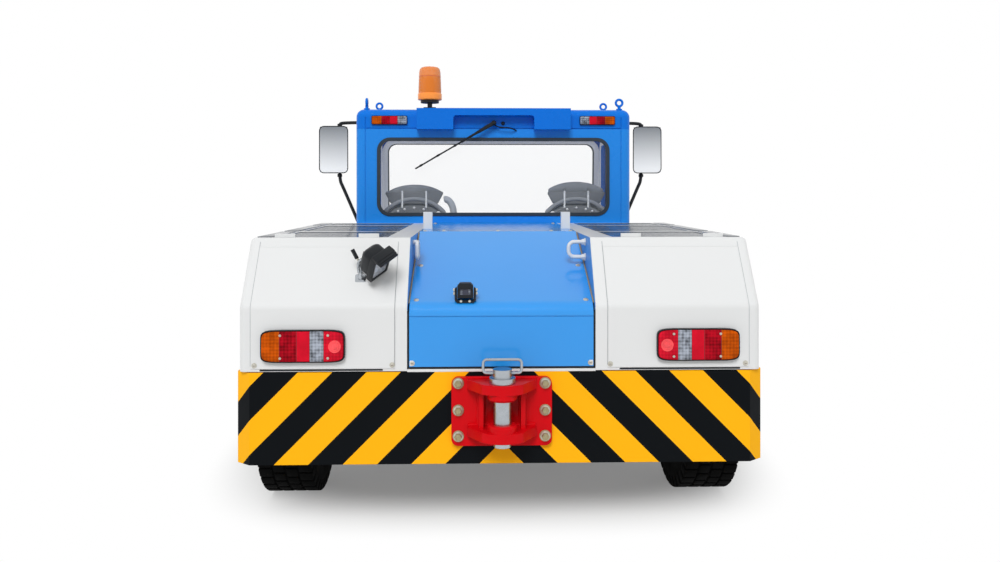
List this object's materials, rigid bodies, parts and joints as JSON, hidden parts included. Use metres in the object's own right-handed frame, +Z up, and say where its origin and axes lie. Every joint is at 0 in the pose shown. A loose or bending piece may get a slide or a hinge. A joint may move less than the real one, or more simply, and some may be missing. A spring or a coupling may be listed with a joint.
{
  "type": "aircraft tow tractor",
  "caption": "Low airport tow tractor with white side pods, blue hood and cab, striped bumpers, slatted decks, steered wheels, doors and a pin hitch.",
  "frame": {"origin": "on the ground under the middle of the tractor's bounding box", "axes": "+Y points ahead, +X to the tractor's right, +Z up"},
  "size_m": [2.706, 4.76, 2.343],
  "materials": {
    "white_paint": "gloss",
    "blue_paint": "gloss",
    "hood_paint": "gloss",
    "stripe_paint": "gloss",
    "red_paint": "gloss",
    "frame_paint": "satin",
    "deck_grey": "gloss",
    "steel": "brushed",
    "axle_iron": "matte",
    "wheel_paint": "satin",
    "tyre": "matte",
    "rubber": "matte",
    "black_plastic": "matte",
    "grey_plastic": "matte",
    "red_lens": "gloss",
    "clear_lens": "gloss",
    "amber_lens": "gloss",
    "glass": "clear",
    "seat_fabric": "woven",
    "battery_grey": "satin"
  },
  "bodies": {
    "chassis": {"frame": "frame_paint", "rear_bumper": "stripe_paint", "front_bumper": "stripe_paint", "hood_sills": "white_paint", "battery_block": "battery_grey", "rear_hitch": "red_paint", "front_hitch": "red_paint", "rear_axle": "axle_iron", "front_axle": "axle_iron", "rear_pods": "white_paint", "front_pods": "white_paint", "pod_panels": "white_paint", "deck_grilles": "deck_grey", "hood_cover": "hood_paint", "hood_rear_panel": "hood_paint", "front_hood": "hood_paint", "cab_floor": "blue_paint", "cab_roof": "blue_paint", "cab_rear_wall": "blue_paint", "cab_front": "blue_paint", "cab_glass": "glass", "window_seals": "rubber", "roof_header": "blue_paint", "roof_lamps": "red_lens", "beacon_mount": "black_plastic", "beacon_lens": "amber_lens", "lifting_eyes": "blue_paint", "mirrors": "black_plastic", "rear_wiper": "black_plastic", "tail_lamps": "red_lens", "headlamps": "clear_lens", "deck_fittings": "white_paint", "work_lamp": "black_plastic", "rear_camera": "black_plastic", "side_steps": "frame_paint", "seat_frames": "grey_plastic", "seat_cushions": "seat_fabric", "seat_backs": "seat_fabric", "headrests": "seat_fabric", "dashboard": "grey_plastic", "steering_column": "black_plastic"},
    "door_right": {"door_right": "blue_paint", "door_handle_right": "black_plastic", "door_glass_right": "glass"},
    "door_left": {"door_left": "blue_paint", "door_handle_left": "black_plastic", "door_glass_left": "glass"},
    "knuckle_right": {"knuckle_right": "axle_iron"},
    "knuckle_left": {"knuckle_left": "axle_iron"},
    "tow_pin": {"tow_pin": "steel"},
    "wheel_rear_right": {"tyre_rear_right": "tyre", "rim_rear_right": "wheel_paint"},
    "wheel_rear_left": {"tyre_rear_left": "tyre", "rim_rear_left": "wheel_paint"},
    "wheel_front_right": {"tyre_front_right": "tyre", "rim_front_right": "wheel_paint"},
    "wheel_front_left": {"tyre_front_left": "tyre", "rim_front_left": "wheel_paint"}
  },
  "joints": [
    {"name": "steer_left", "type": "hinge", "parent": "chassis", "child": "knuckle_left", "pos_m": [-0.88, 1.47, 0.45], "axis": [0, 0, 1], "range_deg": [-30, 30]},
    {"name": "steer_right", "type": "hinge", "parent": "chassis", "child": "knuckle_right", "pos_m": [0.88, 1.47, 0.45], "axis": [0, 0, 1], "range_deg": [-30, 30]},
    {"name": "wheel_rear_left_spin", "type": "hinge", "parent": "chassis", "child": "wheel_rear_left", "pos_m": [-1.02, -1.505, 0.45], "axis": [1, 0, 0], "continuous": true},
    {"name": "wheel_rear_right_spin", "type": "hinge", "parent": "chassis", "child": "wheel_rear_right", "pos_m": [1.02, -1.505, 0.45], "axis": [1, 0, 0], "continuous": true},
    {"name": "wheel_front_left_spin", "type": "hinge", "parent": "knuckle_left", "child": "wheel_front_left", "pos_m": [-1.02, 1.47, 0.45], "axis": [1, 0, 0], "continuous": true},
    {"name": "wheel_front_right_spin", "type": "hinge", "parent": "knuckle_right", "child": "wheel_front_right", "pos_m": [1.02, 1.47, 0.45], "axis": [1, 0, 0], "continuous": true},
    {"name": "door_left_hinge", "type": "hinge", "parent": "chassis", "child": "door_left", "pos_m": [-0.924, 0.69, 1.25], "axis": [0, 0, -1], "range_deg": [0, 75]},
    {"name": "door_right_hinge", "type": "hinge", "parent": "chassis", "child": "door_right", "pos_m": [0.924, 0.69, 1.25], "axis": [0, 0, 1], "range_deg": [0, 75]},
    {"name": "tow_pin_lift", "type": "slide", "parent": "chassis", "child": "tow_pin", "axis": [0, 0, 1], "range_m": [0, 0.2]}
  ],
  "couplings": [
    {"joint": "steer_right", "follows": "steer_left", "ratio": 1}
  ]
}
